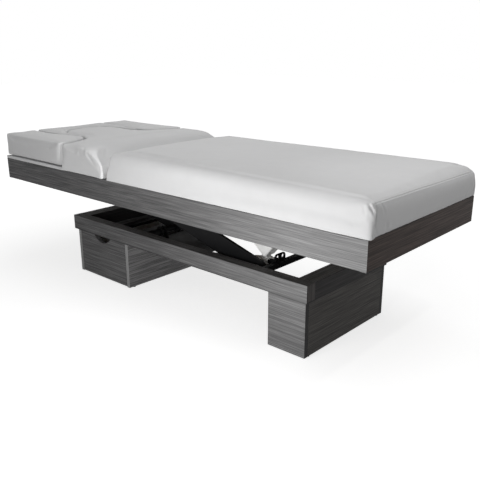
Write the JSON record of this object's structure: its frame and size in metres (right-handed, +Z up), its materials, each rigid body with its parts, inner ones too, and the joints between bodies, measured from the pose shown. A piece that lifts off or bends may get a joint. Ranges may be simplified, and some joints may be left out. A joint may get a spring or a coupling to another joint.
{
  "type": "spa bed",
  "caption": "Spa bed on a cabinet base: padded top with tilting back, armrest pads and face cushion, parallel-arm lift on a wooden frame, and a drawer.",
  "frame": {"origin": "centre of the footprint on the floor", "axes": "+X towards the foot end, -Y towards the side with the drawer, +Z up"},
  "size_m": [1.95, 0.7, 0.61],
  "materials": {
    "dark_laminate": "satin",
    "drawer_board": "satin",
    "platform_board": "matte",
    "upholstery": "satin",
    "black_steel": "satin",
    "plain_steel": "satin",
    "zinc_runner": "satin",
    "chrome_rod": "polished",
    "aluminium_tube": "satin",
    "pale_plastic": "satin",
    "black_plastic": "matte"
  },
  "bodies": {
    "base": {"base_rail_front": "dark_laminate", "base_rail_rear": "dark_laminate", "base_rail_head": "dark_laminate", "base_rail_foot": "dark_laminate", "drawer_cabinet_side_head": "dark_laminate", "drawer_cabinet_side_foot": "dark_laminate", "drawer_cabinet_back": "dark_laminate", "drawer_cabinet_floor": "dark_laminate", "foot_cabinet_inner_side": "dark_laminate", "foot_cabinet_outer_side": "dark_laminate", "foot_cabinet_front": "dark_laminate", "foot_cabinet_rear": "dark_laminate", "foot_cabinet_floor": "dark_laminate", "base_side_plates": "black_steel", "base_cross_bars": "black_steel", "actuator_crossbar": "black_steel", "base_tray": "black_steel", "actuator_rear_bracket": "black_steel", "lower_pivot_pins": "plain_steel", "runner_outer_members": "zinc_runner", "actuator_tube": "aluminium_tube", "actuator_housing": "pale_plastic", "control_box": "black_plastic", "floor_glides": "black_plastic"},
    "drawer": {"drawer_front": "dark_laminate", "drawer_side_head": "drawer_board", "drawer_side_foot": "drawer_board", "drawer_back": "drawer_board", "drawer_bottom": "drawer_board", "runner_inner_members": "zinc_runner"},
    "runner_middle": {"runner_middle_members": "zinc_runner"},
    "foot_arms": {"foot_arm_near": "black_steel", "foot_arm_far": "black_steel", "foot_arm_cross_tube": "black_steel"},
    "head_arms": {"head_arm_near": "black_steel", "head_arm_far": "black_steel", "head_arm_torque_tube": "black_steel", "lift_lever": "black_steel"},
    "rod": {"actuator_rod": "chrome_rod"},
    "top": {"apron_front": "dark_laminate", "apron_rear": "dark_laminate", "apron_head": "dark_laminate", "apron_foot": "dark_laminate", "platform_board": "platform_board", "top_rails": "black_steel", "top_crossbars": "black_steel", "upper_pivot_brackets": "black_steel", "upper_pivot_pins": "plain_steel", "mattress": "upholstery", "hinge_fixed_leaves": "plain_steel", "hinge_pins": "plain_steel"},
    "back": {"back_board": "upholstery", "hinge_moving_leaves": "plain_steel", "back_cushion": "upholstery"},
    "armrest_near_pad": {"armrest_near": "upholstery", "armrest_near_dowels": "plain_steel"},
    "armrest_far_pad": {"armrest_far": "upholstery", "armrest_far_dowels": "plain_steel"},
    "face_pad": {"face_cushion": "upholstery", "face_cushion_dowels": "plain_steel"}
  },
  "joints": [
    {"name": "lift", "type": "hinge", "parent": "base", "child": "foot_arms", "pos_m": [0.44, 0, 0.2385], "axis": [0, 1, 0], "range_deg": [-5, 26]},
    {"name": "head_arm_swing", "type": "hinge", "parent": "base", "child": "head_arms", "pos_m": [-0.15, 0, 0.25], "axis": [0, 1, 0], "range_deg": [-5, 26]},
    {"name": "top_level", "type": "hinge", "parent": "foot_arms", "child": "top", "pos_m": [-0.09831, 0, 0.39286], "axis": [0, 1, 0], "range_deg": [-26, 5]},
    {"name": "actuator_stroke", "type": "slide", "parent": "base", "child": "rod", "axis": [-0.9846, 0, -0.1748], "range_m": [-0.0088, 0.0449]},
    {"name": "back_tilt", "type": "hinge", "parent": "top", "child": "back", "pos_m": [-0.209, 0, 0.5025], "axis": [0, 1, 0], "range_deg": [0, 35]},
    {"name": "armrest_near_lift", "type": "slide", "parent": "back", "child": "armrest_near_pad", "axis": [0, 0, 1], "range_m": [0, 0.03]},
    {"name": "armrest_far_lift", "type": "slide", "parent": "back", "child": "armrest_far_pad", "axis": [0, 0, 1], "range_m": [0, 0.03]},
    {"name": "face_cushion_lift", "type": "slide", "parent": "back", "child": "face_pad", "axis": [0, 0, 1], "range_m": [0, 0.03]},
    {"name": "drawer_slide", "type": "slide", "parent": "base", "child": "drawer", "axis": [0, -1, 0], "range_m": [0, 0.32]},
    {"name": "runner_middle_slide", "type": "slide", "parent": "base", "child": "runner_middle", "axis": [0, -1, 0], "range_m": [0, 0.16]}
  ],
  "couplings": [
    {"joint": "head_arm_swing", "follows": "lift", "ratio": 1},
    {"joint": "top_level", "follows": "lift", "ratio": -1},
    {"joint": "actuator_stroke", "follows": "lift", "m_per_rad": 0.0985},
    {"joint": "runner_middle_slide", "follows": "drawer_slide", "ratio": 0.5}
  ]
}
